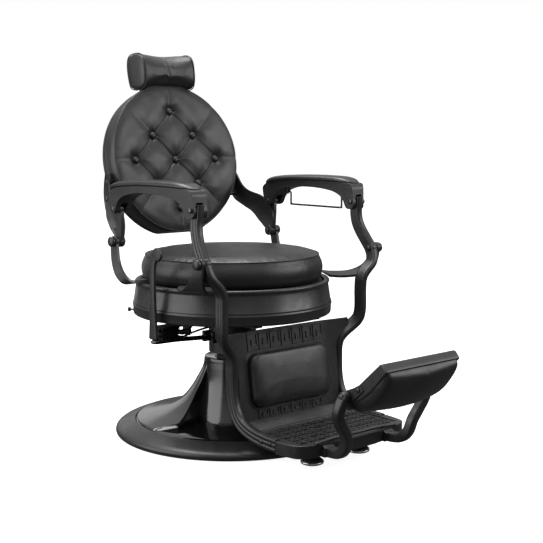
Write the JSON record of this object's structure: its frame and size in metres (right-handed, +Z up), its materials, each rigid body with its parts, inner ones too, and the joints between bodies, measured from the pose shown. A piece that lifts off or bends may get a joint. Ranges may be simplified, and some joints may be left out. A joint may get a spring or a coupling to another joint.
{
  "type": "hydraulic barber chair",
  "caption": "Vintage-style hydraulic barber chair: round base, pump column, swivel seat, reclining tufted back, padded armrests, flip-over leg pad.",
  "frame": {"origin": "swivel axis at floor level, centre of the base's underside", "axes": "+Z up along the swivel axis; +X to the sitter's left; -Y to the front, where the leg frame is"},
  "size_m": [0.7099, 1.2013, 1.1478],
  "materials": {
    "cast_black": "satin powder coat",
    "gloss_black": "gloss",
    "bright_steel": "polished",
    "bronze": "turned",
    "rubber_black": "matte",
    "plywood": "raw",
    "black_leather": "semi-gloss fine grain",
    "pad_vinyl": "semi-gloss smooth"
  },
  "bodies": {
    "root": {"base_plate": "cast_black", "base_cover": "gloss_black", "pedestal_cover": "gloss_black", "pump_cylinder": "bright_steel", "guide_bush": "bronze", "ram_wiper": "rubber_black", "base_bolts": "cast_black"},
    "lift": {"ram": "bright_steel", "ram_piston": "bright_steel", "thrust_washer": "bronze"},
    "seat": {"pump_housing": "cast_black", "swivel_plate": "cast_black", "seat_rails": "cast_black", "seat_ring": "cast_black", "seat_pan": "cast_black", "seat_supports": "cast_black", "seat_board": "plywood", "seat_cushion": "black_leather", "rail_bolts": "cast_black", "front_bracket_left": "cast_black", "front_bracket_right": "cast_black", "rear_bracket_left": "cast_black", "rear_bracket_right": "cast_black", "front_pivot_pins": "cast_black", "rear_pivot_pins": "cast_black", "lever_bracket": "cast_black", "return_spring": "bright_steel", "lock_housing": "cast_black", "pump_knob": "bright_steel", "tilt_release": "cast_black"},
    "pump": {"pump_lever": "cast_black"},
    "tilt_handle": {"recline_lever": "cast_black", "lever_shaft": "bright_steel"},
    "back": {"back_shell": "black_leather", "back_cushion": "black_leather", "back_buttons": "black_leather", "back_arm_left": "cast_black", "back_arm_right": "cast_black", "headrest_sockets": "cast_black"},
    "headrest": {"headrest_posts": "bright_steel", "headrest_bracket": "cast_black", "headrest_pillow": "black_leather"},
    "armrest_l": {"armrest_frame_left": "cast_black", "arm_pad_left": "pad_vinyl", "armrest_pins_left": "cast_black"},
    "armrest_r": {"armrest_frame_right": "cast_black", "arm_pad_right": "pad_vinyl", "armrest_pins_right": "cast_black"},
    "towel_rail": {"towel_bar": "cast_black"},
    "leg_frame": {"leg_bar_left": "cast_black", "leg_bar_right": "cast_black", "calf_panel": "cast_black", "calf_cushion": "black_leather", "foot_platform": "cast_black", "bar_bolts": "cast_black", "stop_feet": "rubber_black", "pad_arms": "cast_black"},
    "leg_pad": {"leg_pad_tray": "cast_black", "leg_pad_cushion": "black_leather", "leg_pad_hinges": "cast_black"}
  },
  "joints": [
    {"name": "lift", "type": "slide", "parent": "root", "child": "lift", "axis": [0, 0, 1], "range_m": [0, 0.15]},
    {"name": "swivel", "type": "hinge", "parent": "lift", "child": "seat", "pos_m": [0, 0, 0.3], "axis": [0, 0, 1], "continuous": true},
    {"name": "recline", "type": "hinge", "parent": "seat", "child": "back", "pos_m": [0, 0.165, 0.583], "axis": [-1, 0, 0], "range_deg": [0, 30]},
    {"name": "leg_raise", "type": "hinge", "parent": "seat", "child": "leg_frame", "pos_m": [0, -0.277, 0.557], "axis": [-1, 0, 0], "range_deg": [0, 23]},
    {"name": "armrest_left_pivot", "type": "hinge", "parent": "back", "child": "armrest_l", "pos_m": [0.298, 0.152, 0.68], "axis": [1, 0, 0], "range_deg": [0, 34]},
    {"name": "armrest_right_pivot", "type": "hinge", "parent": "back", "child": "armrest_r", "pos_m": [-0.298, 0.152, 0.68], "axis": [1, 0, 0], "range_deg": [0, 34]},
    {"name": "leg_pad_flip", "type": "hinge", "parent": "leg_frame", "child": "leg_pad", "pos_m": [0, -0.639, 0.241], "axis": [-1, 0, 0], "range_deg": [0, 135]},
    {"name": "headrest_height", "type": "slide", "parent": "back", "child": "headrest", "axis": [0, 0.1908, 0.9816], "range_m": [0, 0.06]},
    {"name": "towel_bar_swing", "type": "hinge", "parent": "armrest_l", "child": "towel_rail", "pos_m": [0.283, 0, 0.714], "axis": [0, 1, 0], "range_deg": [-70, 70]},
    {"name": "pump_stroke", "type": "hinge", "parent": "seat", "child": "pump", "pos_m": [-0.084, 0, 0.296], "axis": [0, 1, 0], "range_deg": [-12, 0], "stiffness_Nm_per_rad": 12, "springref_deg": 11.46},
    {"name": "recline_release", "type": "hinge", "parent": "seat", "child": "tilt_handle", "pos_m": [-0.3, -0.042, 0.334], "axis": [-1, 0, 0], "range_deg": [0, 10], "stiffness_Nm_per_rad": 12, "springref_deg": -11.46}
  ],
  "couplings": [
    {"joint": "leg_raise", "follows": "recline", "ratio": 0.757},
    {"joint": "armrest_left_pivot", "follows": "recline", "ratio": 1.122},
    {"joint": "armrest_right_pivot", "follows": "recline", "ratio": 1.122}
  ]
}
